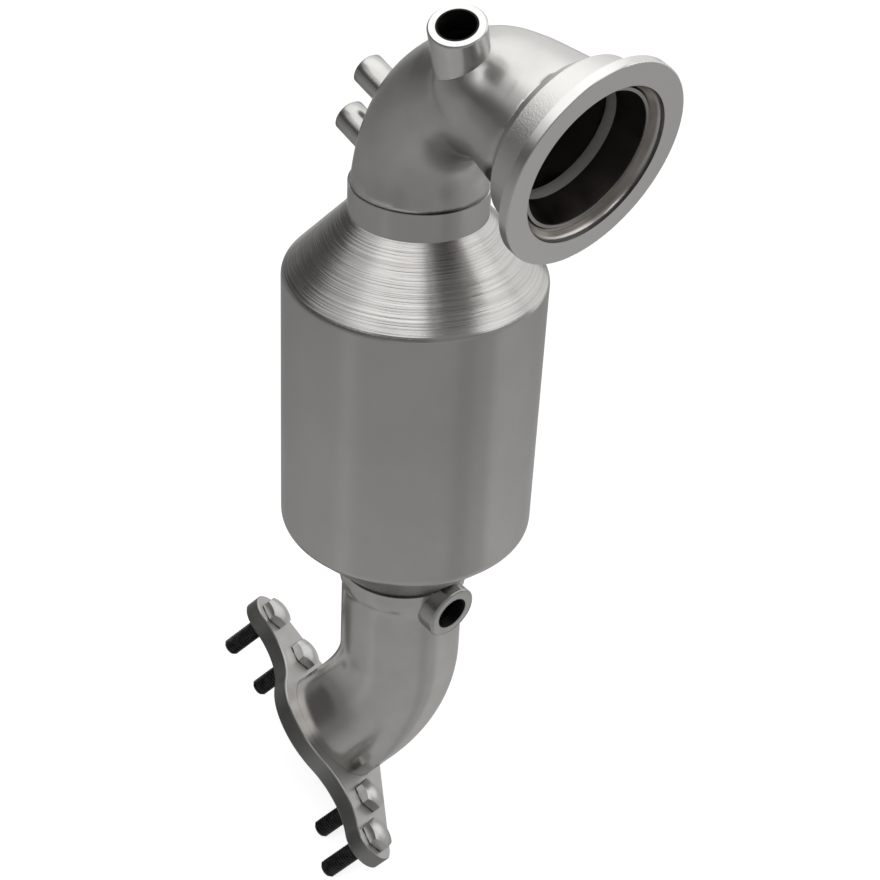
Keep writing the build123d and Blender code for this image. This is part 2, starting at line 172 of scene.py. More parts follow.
# Fine lines round an axis, as a turning or spinning tool leaves them. The vector is measured from
# the axis, with z along it, and rows is how many lines there are to a metre.
turning_lines, given, result = effect("turning_lines", {"Vector": "Vector", "Rows": "Float"}, "Lines")
level = vector(turning_lines, "MULTIPLY", given["Vector"], (1, 1, 0))
radius = length(turning_lines, "LENGTH", level)
way = put(turning_lines, "SeparateXYZ", {0: vector(turning_lines, "NORMALIZE", level)}).outputs
along = number(turning_lines, "MULTIPLY_ADD", radius, 0.37, height_of(turning_lines, given["Vector"]))
row = number(turning_lines, "MULTIPLY", along, given["Rows"])
spot = put(turning_lines, "CombineXYZ", {"X": way["X"], "Y": way["Y"], "Z": row}).outputs[0]
streaks = put(turning_lines, "TexNoise", {"Vector": spot, "Scale": 0.7, "Detail": 2.0})
turning_lines.links.new(streaks.outputs["Fac"], result["Lines"])

# Soft uneven patches, where steel has been handled, pickled or warmed
smudges, given, result = effect("smudges", {"Vector": "Vector", "Scale": "Float"}, "Patches")
cloud = put(smudges, "TexNoise", {"Vector": given["Vector"], "Scale": given["Scale"], "Detail": 4.0,
                                  "Roughness": 0.6})
smudges.links.new(ramp(smudges, cloud.outputs["Fac"], 0.3, 0.7), result["Patches"])

can_steel, tree, shader, place = steel("can_steel", CAN_STEEL, 0.3)
lines = shared(tree, turning_lines, vector(tree, "SUBTRACT", place, CAN_AXIS), Rows=CAN_LINE_ROWS)
span = number(tree, "ABSOLUTE", number(tree, "SUBTRACT", height_of(tree, place), CAN_MIDDLE))
past_tube = ramp(tree, span, CAN_HALF_LENGTH, CAN_HALF_LENGTH + SHOULDER_LENGTH)
before_end = number(tree, "LESS_THAN", span, CONE_TOP_SPAN)
on_cones = number(tree, "MULTIPLY", past_tube, before_end)
streaks = ramp(tree, lines, 0.36, 0.64)
ridges = number(tree, "MULTIPLY", streaks, tone(tree, on_cones, TUBE_LINE_SHARE, 1.0))
scored = number(tree, "MULTIPLY", streaks, on_cones)
patches = shared(tree, smudges, place, Scale=22.0)
skin = blend(tree, patches, CAN_STEEL, CAN_STAIN)
fill(tree, shader, Base_Color=blend(tree, scored, skin, CAN_SCORE),
     Roughness=tone(tree, patches, 0.2, 0.27), Normal=relief(tree, ridges, 0.7, CAN_LINE_DEPTH))
dress("can_shell", can_steel)


# Bricks, mats and seals
# Two ceramic bricks with a washcoat, each wrapped in a mat of pressed fibre and held by the can.
# A ring of knitted wire keeps the gas off each mat's outer end. They show only through the ends.
CERAMIC = (0.42, 0.36, 0.27)
CERAMIC_DARK = (0.30, 0.25, 0.19)
CERAMIC_GRAIN, FIBRE_GRAIN = 0.0007, 0.0005
FIBRE = (0.62, 0.58, 0.50)
FIBRE_DARK = (0.45, 0.41, 0.34)
MESH_STEEL = (0.416, 0.4, 0.384)
MESH_GAP_SHADE = (0.03, 0.03, 0.03)
MESH_WIRES = 1400.0


def matt(name, roughness):
    """A material that isn't metal, with the piece's own coordinates."""
    made, tree, shader, place = steel(name, (0.5, 0.5, 0.5), roughness)
    shader.inputs["Metallic"].default_value = 0
    shader.inputs["Specular Tint"].default_value = (1, 1, 1, 1)
    return made, tree, shader, place


# A fine even grain, as a cast or blasted skin has it. Size is a grain's width in metres.
grain, given, result = effect("grain", {"Vector": "Vector", "Size": "Float"}, "Height")
speckle = put(grain, "TexNoise", {"Vector": given["Vector"], "Detail": 2.0, "Roughness": 0.6,
                                  "Scale": number(grain, "DIVIDE", 1.0, given["Size"])})
grain.links.new(speckle.outputs["Fac"], result["Height"])

ceramic, tree, shader, place = matt("ceramic", 0.9)
specks = shared(tree, grain, place, Size=CERAMIC_GRAIN)
patches = shared(tree, smudges, place, Scale=60.0)
fill(tree, shader, Base_Color=blend(tree, patches, CERAMIC, CERAMIC_DARK),
     Normal=relief(tree, specks, 0.5, 0.0002))
for node in ("front_brick", "rear_brick"):
    dress(node, ceramic)

fibre, tree, shader, place = matt("mat_fibre", 0.95)
strands = put(tree, "Mapping", {"Vector": place, "Scale": (1, 1, 0.2)}).outputs[0]
hairs = shared(tree, grain, strands, Size=FIBRE_GRAIN)
fill(tree, shader, Base_Color=blend(tree, hairs, FIBRE_DARK, FIBRE),
     Normal=relief(tree, hairs, 0.6, 0.0003))
for node in ("front_mat", "rear_mat"):
    dress(node, fibre)

seal_mesh, tree, shader, place = steel("seal_mesh", MESH_STEEL, 0.4)
wires = put(tree, "TexVoronoi", {"Vector": place, "Scale": MESH_WIRES}, feature="DISTANCE_TO_EDGE")
strand = ramp(tree, wires.outputs[0], 0.05, 0.25)
# The gaps between the knitted wires are painted near black, as shade.
fill(tree, shader, Base_Color=blend(tree, strand, MESH_STEEL, MESH_GAP_SHADE),
     Roughness=tone(tree, strand, 0.35, 0.9))
for node in ("front_mat_seal", "rear_mat_seal"):
    dress(node, seal_mesh)


# Elbow
# A cast stainless elbow in the can's collar, with a lump that carries the upper sensor boss. Its
# skin is blasted smooth outside. Inside it is rougher, and its colour is painted dark as shade.
ELBOW_STEEL = (0.574, 0.566, 0.548)
ELBOW_STAIN = (0.499, 0.489, 0.47)
ELBOW_BORE_SHADE = (0.096, 0.0864, 0.0768)
ELBOW_GRAIN = 0.0006
BEND_CENTRE = Vector((-0.0514, 0, -0.044447))
BEND_RADIUS = 0.0548
BORE_WAIST, BORE_WAIST_ANGLE, BORE_WIDENING = 0.0262, math.radians(128), 0.0058
BORE_FOOT = -0.0438
BORE_ROUGHER = 0.25
INLET_FACE = Vector((0, 0, 0))
INLET_AXIS = Vector((0.974761, 0, -0.22325))
LEDGE_STEEL = (0.80, 0.79, 0.77)
LEDGE_MIDDLE, LEDGE_HALF = -0.0225, 0.0026
UPPER_FACE = Vector((-0.058321, -0.027566, 0.048386))
UPPER_AXIS = Vector((0.195098, -0.367185, 0.909457))
LUMP_CENTRE = Vector((-0.057946, -0.011607, 0.017839))
LUMP_NEAR, LUMP_FAR = 0.0165, 0.034
SKIN_RADIUS, BOSS_CLEAR, DRUM_CLEAR = 0.0272, 0.0128, -0.031
BLEND_STEP, BLEND_SPLITS, BLEND_PASSES = 0.0012, 4, 60
MERGE_DISTANCE = 0.000002
SHARP_ANGLE = math.radians(32)


def turned_about(tree, place, centre, axis):
    """The piece's coordinates measured from a turning axis: z runs along it from a centre."""
    turn = axis.to_track_quat("Z", "Y").to_euler()
    return put(tree, "Mapping", {"Vector": place, "Location": centre, "Rotation": turn},
               vector_type="TEXTURE").outputs[0]


def merged_copy(node):
    """A copy of a frame solid's mesh, with the corners of its triangles joined up."""
    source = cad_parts[node]
    shape = bmesh.new()
    shape.from_mesh(source.data)
    shape.transform(source.matrix_world)
    bmesh.ops.remove_doubles(shape, verts=shape.verts, dist=MERGE_DISTANCE)
    return shape


def finish_piece(name, shape, place, materials, node):
    """Makes the piece from its finished shape, and lets it stand for its solid of the frame."""
    bmesh.ops.recalc_face_normals(shape, faces=shape.faces)
    shape.transform(place)
    mesh = bpy.data.meshes.new(name)
    shape.to_mesh(mesh)
    shape.free()
    mesh.shade_smooth()
    mesh.set_sharp_from_angle(angle=SHARP_ANGLE)
    for material in materials:
        mesh.materials.append(material)
    piece = bpy.data.objects.new(name, mesh)
    bpy.context.scene.collection.objects.link(piece)
    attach(piece, "root")
    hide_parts(node)


cast_steel, tree, shader, place = steel("cast_steel", ELBOW_STEEL, 0.36)
# How far a point lies from the bend's centreline tells the bore from the outside.
from_bend = vector(tree, "SUBTRACT", place, BEND_CENTRE)
arm = vector(tree, "NORMALIZE", vector(tree, "MULTIPLY", from_bend, (1, 0, 1)))
line = put(tree, "VectorMath", {0: arm, "Scale": BEND_RADIUS}, operation="SCALE").outputs[0]
reach = length(tree, "DISTANCE", from_bend, line)
arms = put(tree, "SeparateXYZ", {0: arm}).outputs
from_waist = number(tree, "SUBTRACT", number(tree, "ARCTAN2", arms["Z"], arms["X"]), BORE_WAIST_ANGLE)
squared = number(tree, "MULTIPLY", from_waist, from_waist)
limit = number(tree, "MULTIPLY_ADD", squared, BORE_WIDENING, BORE_WAIST)
within = ramp(tree, number(tree, "SUBTRACT", limit, reach), -0.0003, 0.0003)
above = number(tree, "GREATER_THAN", height_of(tree, place), BORE_FOOT)
inside = number(tree, "MULTIPLY", within, above)
# The ledge that the liner points at is turned bright.
axial = height_of(tree, turned_about(tree, place, INLET_FACE, INLET_AXIS))
off_ledge = number(tree, "ABSOLUTE", number(tree, "SUBTRACT", axial, LEDGE_MIDDLE))
on_ledge = ramp(tree, off_ledge, LEDGE_HALF + 0.0001, LEDGE_HALF - 0.0001)
# Inside the bore the colour is painted dark as shade; the ledge keeps its bright turned colour.
bore = blend(tree, on_ledge, ELBOW_BORE_SHADE, LEDGE_STEEL)
specks = shared(tree, grain, place, Size=ELBOW_GRAIN)
patches = shared(tree, smudges, place, Scale=28.0)
outside = blend(tree, patches, ELBOW_STEEL, ELBOW_STAIN)
rough = tone(tree, patches, 0.27, 0.36)
fill(tree, shader, Base_Color=blend(tree, inside, outside, bore),
     Roughness=number(tree, "MULTIPLY_ADD", inside, BORE_ROUGHER, rough),
     Normal=relief(tree, specks, 0.12, 0.0001))


def in_blend(corner):
    """Whether a corner of the elbow's skin lies in the ring round the lump's foot."""
    level = Vector((corner.co.x - BEND_CENTRE.x, 0, corner.co.z - BEND_CENTRE.z))
    from_bend = (corner.co - BEND_CENTRE - level.normalized() * BEND_RADIUS).length
    from_boss = (corner.co - UPPER_FACE).cross(UPPER_AXIS).length
    return (
        LUMP_NEAR < (corner.co - LUMP_CENTRE).length < LUMP_FAR and from_bend > SKIN_RADIUS
        and from_boss > BOSS_CLEAR and corner.co.dot(INLET_AXIS) < DRUM_CLEAR
    )


# The foot of the lump is rubbed down smooth, away from the boss and the flange.
shape = merged_copy("inlet_elbow")
for _ in range(BLEND_SPLITS):
    long_edges = [edge for edge in shape.edges
                  if edge.calc_length() > BLEND_STEP and any(in_blend(corner) for corner in edge.verts)]
    bmesh.ops.subdivide_edges(shape, edges=long_edges, cuts=1)
    bmesh.ops.triangulate(shape, faces=shape.faces)
skin = [corner for corner in shape.verts if in_blend(corner)]
for _ in range(BLEND_PASSES):
    bmesh.ops.smooth_vert(shape, verts=skin, factor=0.5, use_axis_x=True, use_axis_y=True, use_axis_z=True)
finish_piece("inlet_elbow_smoothed", shape, Matrix(), [cast_steel], "inlet_elbow")


# Heat-shield bosses
# Two turned stubs welded to the back of the elbow, each with a blind M8 thread for a screw.
# Bright bar steel with turning marks round it and across its face.
TURNED_STEEL = (0.55, 0.544, 0.528)
TURNED_DULL = (0.48, 0.474, 0.456)
TAPPED_BORE_SHADE = (0.0168, 0.0163, 0.0156)
TURNED_LINE_ROWS = 2600.0
TURNED_LINE_DEPTH = 0.00004
SHIELD_BOSSES = {"shield_boss_upper": (-0.148204, 0.003, -0.010312),
                 "shield_boss_lower": (-0.153654, -0.003, -0.033828)}
SHIELD_AXIS = Vector((-0.939693, 0, 0.34202))
SHIELD_MINOR, SHIELD_MAJOR, SHIELD_PITCH = 0.00332, 0.0040, 0.00125
SHIELD_THREAD_TOP, SHIELD_THREAD_END = -0.0006, -0.0095
THREAD_STEPS = 48
THREAD_OUTLINE = ((0, 0), (0.25, 0), (0.5625, 1), (0.6875, 1), (1, 0))
THREAD_GAP, RIM_REACH, CUT_REACH = 0.00005, 0.0001, 0.00001


def turned_steel(name, centre, axis, bore, colour, dull):
    """Bright turned steel with lines round its own axis, and a bore painted dark as shade up to a radius."""
    made, tree, shader, place = steel(name, colour, 0.24)
    local = turned_about(tree, place, centre, axis)
    lines = shared(tree, turning_lines, local, Rows=TURNED_LINE_ROWS)
    patches = shared(tree, smudges, place, Scale=60.0)
    radius = length(tree, "LENGTH", vector(tree, "MULTIPLY", local, (1, 1, 0)))
    # The bore is painted near black up to its radius, as shade.
    in_bore = ramp(tree, radius, bore + 0.0002, bore)
    skin = blend(tree, patches, colour, dull)
    fill(tree, shader, Base_Color=blend(tree, in_bore, skin, TAPPED_BORE_SHADE),
         Roughness=tone(tree, in_bore, 0.25, 0.5), Normal=relief(tree, lines, 0.35, TURNED_LINE_DEPTH))
    return made


def cut(shape, height, **clear):
    """Cuts a shape across at a height on its own axis, and clears one side where asked."""
    bmesh.ops.bisect_plane(shape, geom=[*shape.verts, *shape.edges, *shape.faces], dist=0.0000005,
                           plane_co=(0, 0, height), plane_no=(0, 0, 1), **clear)


def thread_surface(inner, outer, pitch, low, high):
    """Surface of a right-hand screw thread between two heights, open at both ends."""
    shape = bmesh.new()
    corners = [shape.verts.new((inner + share * (outer - inner), 0, low + (along - 1) * pitch))
               for along, share in THREAD_OUTLINE]
    sides = [shape.edges.new(pair) for pair in zip(corners, corners[1:])]
    turns = math.ceil((high - low) / pitch) + 2
    bmesh.ops.spin(shape, geom=[*corners, *sides], cent=(0, 0, 0), axis=(0, 0, 1),
                   dvec=(0, 0, pitch / THREAD_STEPS), angle=math.tau * turns, steps=THREAD_STEPS * turns)
    bmesh.ops.remove_doubles(shape, verts=shape.verts, dist=MERGE_DISTANCE)
    cut(shape, high, clear_outer=True)
    cut(shape, low, clear_inner=True)
    return shape


def join(shape, other):
    """Adds another shape's geometry to this one."""
    mesh = bpy.data.meshes.new("part")
    other.to_mesh(mesh)
    other.free()
    shape.from_mesh(mesh)
    bpy.data.meshes.remove(mesh)


def close_step(shape, low, high):
    """Bridges the two open rims that lie between two heights."""
    rims = [edge for edge in shape.edges
            if edge.is_boundary and all(low < corner.co.z < high for corner in edge.verts)]
    bmesh.ops.bridge_loops(shape, edges=rims)


def threaded_boss(node, face, axis, minor, major, pitch, top, end, material):
    """A boss like its solid, with the screw thread cut in its bore between two depths."""
    place = Matrix.Translation(face) @ axis.to_track_quat("Z", "Y").to_matrix().to_4x4()
    shape = merged_copy(node)
    shape.transform(place.inverted())
    cut(shape, top)
    cut(shape, end)
    bore = [
        side for side in shape.faces
        if all(corner.co.xy.length < minor + RIM_REACH and end - CUT_REACH < corner.co.z < top + CUT_REACH
               for corner in side.verts)
    ]
    bmesh.ops.delete(shape, geom=bore, context="FACES")
    join(shape, thread_surface(minor, major, pitch, end + THREAD_GAP, top - THREAD_GAP))
    close_step(shape, top - RIM_REACH, top + RIM_REACH)
    close_step(shape, end - RIM_REACH, end + RIM_REACH)
    finish_piece(node + "_threaded", shape, place, [material], node)


for node, face in SHIELD_BOSSES.items():
    material = turned_steel(node + "_steel", face, SHIELD_AXIS, SHIELD_MAJOR, TURNED_STEEL, TURNED_DULL)
    threaded_boss(node, face, SHIELD_AXIS, SHIELD_MINOR, SHIELD_MAJOR, SHIELD_PITCH,
                  SHIELD_THREAD_TOP, SHIELD_THREAD_END, material)


# Upper sensor boss
# A turned boss on the elbow's lump, tapped M18 x 1.5 for the gas sensor ahead of the bricks.
# Bright steel, faced square, with its threaded bore painted dark as shade.
SENSOR_MINOR, SENSOR_MAJOR, SENSOR_PITCH = 0.00819, 0.0090, 0.0015
UPPER_THREAD_TOP, UPPER_THREAD_END = -0.0008, -0.0118
UPPER_STEEL = (0.66, 0.655, 0.645)
UPPER_DULL = (0.60, 0.595, 0.58)

material = turned_steel("upstream_boss_steel", UPPER_FACE, UPPER_AXIS, SENSOR_MAJOR,
                        UPPER_STEEL, UPPER_DULL)
threaded_boss("upstream_sensor_boss", UPPER_FACE, UPPER_AXIS, SENSOR_MINOR, SENSOR_MAJOR, SENSOR_PITCH,
              UPPER_THREAD_TOP, UPPER_THREAD_END, material)


# Inlet flange
# A cast ring welded over the elbow's end, with a rim for a clamp. Its face is turned flat, its
# recess has a rounded floor, brown from heat treatment, and its drum keeps the grain of casting.
FLANGE_FACE_STEEL = (0.637, 0.63, 0.615)
FLANGE_CAST_STEEL = (0.611, 0.603, 0.582)
COVE_BROWN = (0.34, 0.315, 0.285)
COVE_DARK = (0.20, 0.18, 0.16)
COVE_RADIUS = 0.0381
COVE_END = -0.015
RIM_DEPTH = 0.0049
FLANGE_LINE_ROWS = 1900.0
FLANGE_GRAIN = 0.0008

flange_steel, tree, shader, place = steel("flange_steel", FLANGE_CAST_STEEL, 0.4)
local = turned_about(tree, place, INLET_FACE, INLET_AXIS)
lines = shared(tree, turning_lines, local, Rows=FLANGE_LINE_ROWS)
specks = shared(tree, grain, place, Size=FLANGE_GRAIN)
patches = shared(tree, smudges, place, Scale=35.0)
radius = length(tree, "LENGTH", vector(tree, "MULTIPLY", local, (1, 1, 0)))
axial = height_of(tree, local)
near_axis = ramp(tree, radius, COVE_RADIUS, COVE_RADIUS - 0.001)
ahead = number(tree, "GREATER_THAN", axial, COVE_END)
in_cove = number(tree, "MULTIPLY", near_axis, ahead)
machined = ramp(tree, axial, -RIM_DEPTH - 0.0002, -RIM_DEPTH + 0.0002)
skin = blend(tree, machined, FLANGE_CAST_STEEL, FLANGE_FACE_STEEL)
cove = blend(tree, patches, COVE_BROWN, COVE_DARK)
cast_height = number(tree, "MULTIPLY", specks, tone(tree, machined, 1.0, 0.05))
height = number(tree, "MULTIPLY_ADD", lines, tone(tree, machined, 0.0, 0.06), cast_height)
fill(tree, shader, Base_Color=blend(tree, in_cove, skin, cove),
     Roughness=tone(tree, machined, 0.36, 0.28), Normal=relief(tree, height, 0.6, 0.00025))
dress("inlet_flange", flange_steel)


# Liner
# A thin tapered sleeve in the flange's throat that keeps the hot gas off the weld. It is rolled
# stainless with a bare lip, and inside it is painted nearly black as shade.
LINER_LIP = (0.416, 0.406, 0.39)
LINER_SHADE = (0.0528, 0.048, 0.0432)
LINER_BROWN_SHADE = (0.075, 0.066, 0.058)
LINER_LIP_DEPTH = -0.0056

liner_steel, tree, shader, place = steel("liner_steel", LINER_SHADE, 0.4)
axial = height_of(tree, turned_about(tree, place, INLET_FACE, INLET_AXIS))
at_lip = ramp(tree, axial, LINER_LIP_DEPTH - 0.0002, LINER_LIP_DEPTH + 0.0001)
patches = shared(tree, smudges, place, Scale=70.0)
# The liner's inside is painted nearly black as shade, varied by soft patches.
inner_shade = blend(tree, patches, LINER_SHADE, LINER_BROWN_SHADE)
fill(tree, shader, Base_Color=blend(tree, at_lip, inner_shade, LINER_LIP),
     Roughness=tone(tree, patches, 0.32, 0.5))
dress("inlet_liner", liner_steel)


# Outlet pipe
# A drawn stainless tube: a belled end over the can's neck, one bend made on a mandrel, and the end
# welded into the flange. It has a satin skin with a very fine grain and soft patches.
PIPE_STEEL = (0.57, 0.559, 0.541)
PIPE_STAIN = (0.499, 0.485, 0.462)
PIPE_GRAIN = 0.0004

pipe_steel, tree, shader, place = steel("pipe_steel", PIPE_STEEL, 0.3)
specks = shared(tree, grain, place, Size=PIPE_GRAIN)
patches = shared(tree, smudges, place, Scale=26.0)
fill(tree, shader, Base_Color=blend(tree, patches, PIPE_STEEL, PIPE_STAIN),
     Roughness=tone(tree, patches, 0.2, 0.27), Normal=relief(tree, specks, 0.03, 0.00004))
dress("outlet_pipe", pipe_steel)


# Lower sensor boss
# A wide turned boss on the pipe's bell, countersunk and tapped M18 x 1.5 for the gas sensor after
# the bricks. The same bar steel as the upper one, a little duller.
LOWER_FACE = Vector((-0.06759, 0, -0.281541))
LOWER_AXIS = Vector((0.992546, 0, -0.121869))
LOWER_THREAD_TOP, LOWER_THREAD_END = -0.0009, -0.0068
LOWER_STEEL = (0.50, 0.495, 0.48)
LOWER_DULL = (0.42, 0.415, 0.40)

material = turned_steel("downstream_boss_steel", LOWER_FACE, LOWER_AXIS, SENSOR_MAJOR,
                        LOWER_STEEL, LOWER_DULL)
threaded_boss("downstream_sensor_boss", LOWER_FACE, LOWER_AXIS, SENSOR_MINOR, SENSOR_MAJOR, SENSOR_PITCH,
              LOWER_THREAD_TOP, LOWER_THREAD_END, material)


# Outlet flange
# A thick plate sawn and milled to an eared outline, with ground faces, a broken edge, and four bolt
# holes. The cut edge is painted darker than the faces, as shade, and the faces show a fine random scuff.
PLATE_STEEL = (0.63, 0.622, 0.605)
PLATE_STAIN = (0.528, 0.518, 0.499)
PLATE_EDGE_SHADE = (0.275, 0.273, 0.265)
PLATE_FACE = Vector((-0.125556, -0.027746, -0.385062))
PLATE_X = Vector((-0.903977, 0.243083, 0.351762))
PLATE_UP = Vector((0.424518, 0.608533, 0.670427))
PLATE_THICKNESS = 0.009
PLATE_GRAIN = 0.0005

plate_steel, tree, shader, place = steel("plate_steel", PLATE_STEEL, 0.35)
axial = height_of(tree, turned_about(tree, place, PLATE_FACE, PLATE_UP))
off_middle = number(tree, "ABSOLUTE", number(tree, "ADD", axial, PLATE_THICKNESS / 2))
on_side = ramp(tree, off_middle, PLATE_THICKNESS / 2 - 0.00005, PLATE_THICKNESS / 2 - 0.0002)
specks = shared(tree, grain, place, Size=PLATE_GRAIN)
patches = shared(tree, smudges, place, Scale=40.0)
face = blend(tree, patches, PLATE_STEEL, PLATE_STAIN)
# The plate's cut edge is painted dark, as shade.
fill(tree, shader, Base_Color=blend(tree, on_side, face, PLATE_EDGE_SHADE),
     Roughness=tone(tree, patches, 0.27, 0.4), Normal=relief(tree, specks, 0.2, 0.0001))
dress("outlet_flange", plate_steel)


# Bolts
# Four M10 bolts through the flange from the pipe's side. The domed hexagon heads are plated bright.
# The rolled thread below the plate is coloured near black.
BOLTS = {
    "flange_bolt_upper_outer": (-0.189516, -0.020336, -0.351287),
    "flange_bolt_upper_inner": (-0.167057, -0.017772, -0.367836),
    "flange_bolt_lower_inner": (-0.083891, -0.040136, -0.400198),
    "flange_bolt_lower_outer": (-0.060247, -0.055097, -0.401589),
}
BOLT_MINOR, BOLT_MAJOR, BOLT_PITCH = 0.00408, 0.00493, 0.0015
BOLT_THREAD_TOP, BOLT_TIP, BOLT_TIP_CHAMFER = -0.0103, -0.034, 0.0012
HEX_CORNER = 0.008 / math.cos(math.radians(30))
HEX_TURN = math.radians(30)
HEX_SIDE_CUTS = 11
HEAD_FOOT, HEAD_TOP, CROWN_RADIUS = 0.0005, 0.0075, 0.016
CROWN_STEPS = (1.0, 0.97, 0.9, 0.8, 0.7, 0.6, 0.5, 0.6, 0.6, 0.5)
HEAD_FACE_RADIUS, SHANK_RADIUS, SHANK_END = 0.0073, 0.0045, -0.0099
HEAD_STEEL = (0.6, 0.598, 0.588)
HEAD_DULL = (0.494, 0.489, 0.476)
THREAD_BLACK = (0.0484, 0.0484, 0.0506)
THREAD_CREST = (0.121, 0.121, 0.125)

bolt_steel, tree, shader, place = steel("bolt_steel", HEAD_STEEL, 0.3)
patches = shared(tree, smudges, place, Scale=160.0)
fill(tree, shader, Base_Color=blend(tree, patches, HEAD_STEEL, HEAD_DULL),
     Roughness=tone(tree, patches, 0.26, 0.38))

thread_steel, tree, shader, place = steel("thread_steel", THREAD_BLACK, 0.42)
patches = shared(tree, smudges, place, Scale=300.0)
fill(tree, shader, Base_Color=blend(tree, patches, THREAD_BLACK, THREAD_CREST),
     Roughness=tone(tree, patches, 0.34, 0.5))


def grow(shape, rim, rule):
    """Extrudes an open rim and places its new corners by a rule. Returns the new rim."""
    made = bmesh.ops.extrude_edge_only(shape, edges=rim)["geom"]
    for corner in made:
        if isinstance(corner, bmesh.types.BMVert):
            corner.co = rule(corner.co)
    return [edge for edge in made if isinstance(edge, bmesh.types.BMEdge) and edge.is_boundary]


def on_crown(corner, share):
    """A point of the head's dome, at a share of the way out from its middle."""
    radius = corner.xy.length * share
    height = HEAD_TOP - CROWN_RADIUS + math.sqrt(CROWN_RADIUS ** 2 - radius ** 2)
    return Vector((*(corner.xy * share), height))


def on_ring(corner, radius, height):
    """A point at a radius and a height, in the direction of another."""
    return Vector((*(corner.xy.normalized() * radius), height))


def bolt_head():
    """The head and the plain shank: six sides, a dome drawn inwards, then the underside."""
    shape = bmesh.new()
    bmesh.ops.create_circle(shape, radius=HEX_CORNER, segments=6,
                            matrix=Matrix.Translation((0, 0, HEAD_FOOT)) @ Matrix.Rotation(HEX_TURN, 4, "Z"))
    bmesh.ops.subdivide_edges(shape, edges=shape.edges, cuts=HEX_SIDE_CUTS)
    base = shape.edges[:]
    rim = base
    for share in CROWN_STEPS:
        rim = grow(shape, rim, lambda corner: on_crown(corner, share))
    bmesh.ops.holes_fill(shape, edges=rim, sides=0)
    rim = base
    for radius, height in ((HEAD_FACE_RADIUS, HEAD_FOOT), (HEAD_FACE_RADIUS, 0), (SHANK_RADIUS, 0),
                           (SHANK_RADIUS, SHANK_END)):
        rim = grow(shape, rim, lambda corner: on_ring(corner, radius, height))
    return shape


def bolt_thread():
    """The rolled thread, with its tip chamfered at 45 degrees and closed."""
    shape = thread_surface(BOLT_MINOR, BOLT_MAJOR, BOLT_PITCH, BOLT_TIP, BOLT_THREAD_TOP)
    for corner in shape.verts:
        limit = BOLT_MAJOR - BOLT_TIP_CHAMFER + corner.co.z - BOLT_TIP
        if corner.co.xy.length > limit:
            corner.co.xy *= limit / corner.co.xy.length
    bmesh.ops.remove_doubles(shape, verts=shape.verts, dist=MERGE_DISTANCE)
    tip = [edge for edge in shape.edges
           if edge.is_boundary and edge.verts[0].co.z < BOLT_TIP + RIM_REACH]
    bmesh.ops.holes_fill(shape, edges=tip, sides=0)
    return shape


for node, middle in BOLTS.items():
    place = Matrix((PLATE_X, PLATE_UP.cross(PLATE_X), PLATE_UP)).transposed().to_4x4()
    place.translation = middle
    shape = bolt_head()
    join(shape, bolt_thread())
    close_step(shape, BOLT_THREAD_TOP - RIM_REACH, SHANK_END + RIM_REACH)
    for side in shape.faces:
        side.material_index = int(side.calc_center_median().z < -PLATE_THICKNESS / 2)
    finish_piece(node + "_threaded", shape, place, [bolt_steel, thread_steel], node)


# Studio
# A white floor and a white surround with two soft lamps. Panels that only show in reflections give
# the steel its bright and dark bands. Nothing here belongs to the object.
FLOOR_SIZE = 8.0
FLOOR_GREY = 0.42
FLOOR_GLOW = 0.82
FLOOR_SHEEN = 0.34
FLOOR_LAYER = 0.0004
FLOOR_NEARER, NEARER_START, NEARER_END = 0.4, 0.1, 0.55
SURROUND_LIGHT = 0.4
CAMERA_AZIMUTH = 47.7
PANEL_DISTANCE = 1.6
DOME_DISTANCE, DOME_LEVEL = 2.56, 0.4
WHITE = (1, 1, 1, 1)
subject = (cad_low + cad_high) / 2


def seen_directly(tree):
    """1 for what the camera, a reflection or a see-through piece looks at, and 0 for light."""
    path = put(tree, "LightPath").outputs
    both = number(tree, "MAXIMUM", path["Is Camera Ray"], path["Is Glossy Ray"])
    return number(tree, "MAXIMUM", both, path["Is Transmission Ray"])


def staged(name, shape, material):
    """A floor or a panel of the studio, made from a shape."""
    mesh = bpy.data.meshes.new(name)
    shape.to_mesh(mesh)
    shape.free()
    mesh.materials.append(material)
    made = bpy.data.objects.new(name, mesh)
    bpy.context.scene.collection.objects.link(made)
    return made


world = bpy.context.scene.world or bpy.data.worlds.new("surround")
bpy.context.scene.world = world
world.use_nodes = True
tree = world.node_tree
tree.nodes.clear()
light = put(tree, "Background", {"Color": WHITE, "Strength": SURROUND_LIGHT})
white = put(tree, "Background", {"Color": WHITE, "Strength": 1.0})
mixed = put(tree, "MixShader", {0: seen_directly(tree), 1: light.outputs[0], 2: white.outputs[0]})
put(tree, "OutputWorld", {"Surface": mixed.outputs[0]})

paper = bpy.data.materials.new("floor_paper")
paper.use_nodes = True
tree = paper.node_tree
tree.nodes.clear()
matt_side = put(tree, "BsdfDiffuse", {"Color": (FLOOR_GREY, FLOOR_GREY, FLOOR_GREY, 1)})
share = number(tree, "MULTIPLY", seen_directly(tree), FLOOR_GLOW)
glow = put(tree, "Emission", {"Color": WHITE, "Strength": share})
both = put(tree, "AddShader", {0: matt_side.outputs[0], 1: glow.outputs[0]})
put(tree, "OutputMaterial", {"Surface": both.outputs[0]})
shape = bmesh.new()
bmesh.ops.create_grid(shape, x_segments=1, y_segments=1, size=FLOOR_SIZE / 2,
                      matrix=Matrix.Translation((subject.x, subject.y, cad_low.z)))
staged("floor", shape, paper)


def heading(azimuth, elevation):
    """A direction from the object: azimuth is turned from the camera's side, to the right."""
    turn, rise = math.radians(CAMERA_AZIMUTH + azimuth), math.radians(elevation)
    return Vector((math.sin(turn) * math.cos(rise), -math.cos(turn) * math.cos(rise), math.sin(rise)))


